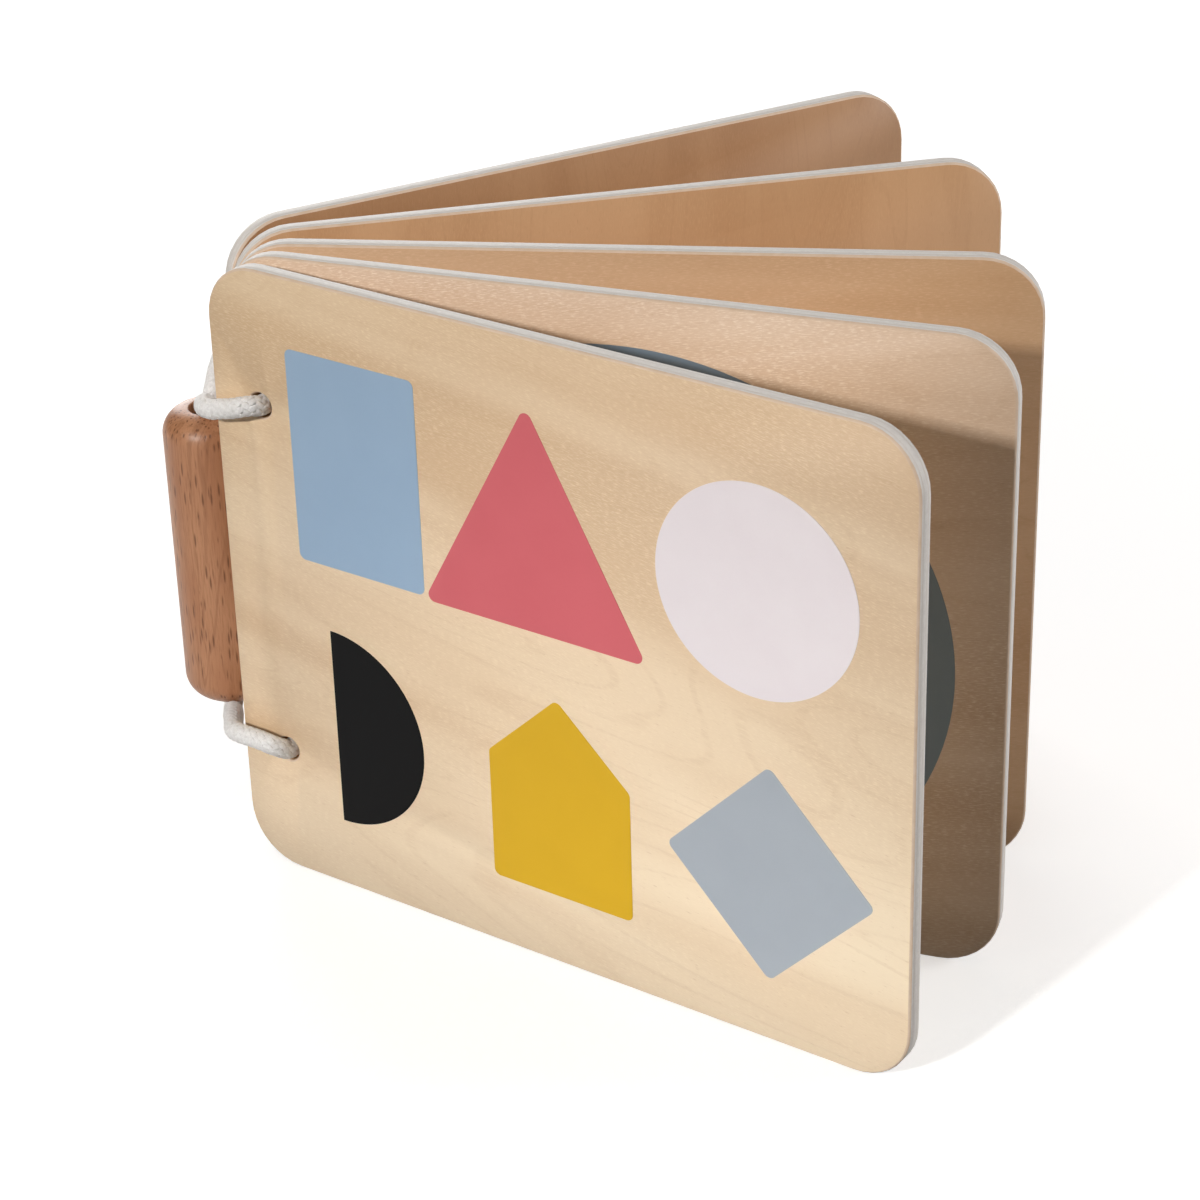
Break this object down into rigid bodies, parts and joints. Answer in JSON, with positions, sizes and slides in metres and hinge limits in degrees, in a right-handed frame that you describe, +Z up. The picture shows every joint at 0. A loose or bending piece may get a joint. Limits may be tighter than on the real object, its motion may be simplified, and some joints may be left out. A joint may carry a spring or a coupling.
{
  "type": "wooden baby book",
  "caption": "Baby's board book of thin plywood leaves laced at the spine by a cord through a dowel grip; it fans open, stands upright and closes flat.",
  "frame": {"origin": "middle of the opened book's footprint, on the ground that its lower edges stand on", "axes": "+Z up, front cover facing -Y, spine towards -X, the middle leaf running along +X"},
  "size_m": [0.1476, 0.1508, 0.11],
  "materials": {
    "board": "clear matt varnish, painted pale edges",
    "dowel_wood": "smooth unvarnished beech",
    "cord": "braided cotton",
    "ink_blue": "satin print",
    "ink_red": "satin print",
    "ink_pale": "satin print",
    "ink_black": "satin print",
    "ink_yellow": "satin print",
    "ink_grey": "satin print",
    "ink_deep_blue": "satin print"
  },
  "bodies": {
    "back_cover": {"back_cover": "board", "back_cover_disc": "ink_grey"},
    "page_3": {"page_3": "board", "page_3_disc": "ink_yellow"},
    "page_2": {"page_2": "board", "page_2_disc": "ink_red"},
    "page_1": {"page_1": "board", "page_1_oval": "ink_deep_blue"},
    "front_cover": {"front_cover": "board", "cover_block": "ink_blue", "cover_triangle": "ink_red", "cover_disc": "ink_pale", "cover_half_moon": "ink_black", "cover_house": "ink_yellow", "cover_kite": "ink_grey"},
    "cord": {"binding_cord": "cord"},
    "dowel": {"dowel": "dowel_wood"}
  },
  "joints": [
    {"name": "page_3_turn", "type": "hinge", "parent": "back_cover", "child": "page_3", "pos_m": [-0.05734, -0.00234, 0], "axis": [0, 0, 1], "range_deg": [-33.6, 16.4], "deforming": ["binding_cord"]},
    {"name": "page_2_turn", "type": "hinge", "parent": "page_3", "child": "page_2", "pos_m": [-0.05624, -0.00556, 0], "axis": [0, 0, 1], "range_deg": [-31, 19], "deforming": ["binding_cord"]},
    {"name": "page_1_turn", "type": "hinge", "parent": "page_2", "child": "page_1", "pos_m": [-0.05624, -0.00895, 0], "axis": [0, 0, 1], "range_deg": [-37, 13], "deforming": ["binding_cord"]},
    {"name": "front_cover_turn", "type": "hinge", "parent": "page_1", "child": "front_cover", "pos_m": [-0.057, -0.01227, 0], "axis": [0, 0, 1], "range_deg": [-35.3, 14.7], "deforming": ["binding_cord"]},
    {"name": "dowel_swing", "type": "hinge", "parent": "back_cover", "child": "cord", "pos_m": [-0.05071, -0.00687, 0.047], "axis": [0, 0, 1], "range_deg": [0, 74], "deforming": ["binding_cord"]},
    {"name": "dowel_spin", "type": "hinge", "parent": "cord", "child": "dowel", "pos_m": [-0.06536, 0.00689, 0.047], "axis": [0, 0, 1], "continuous": true}
  ]
}
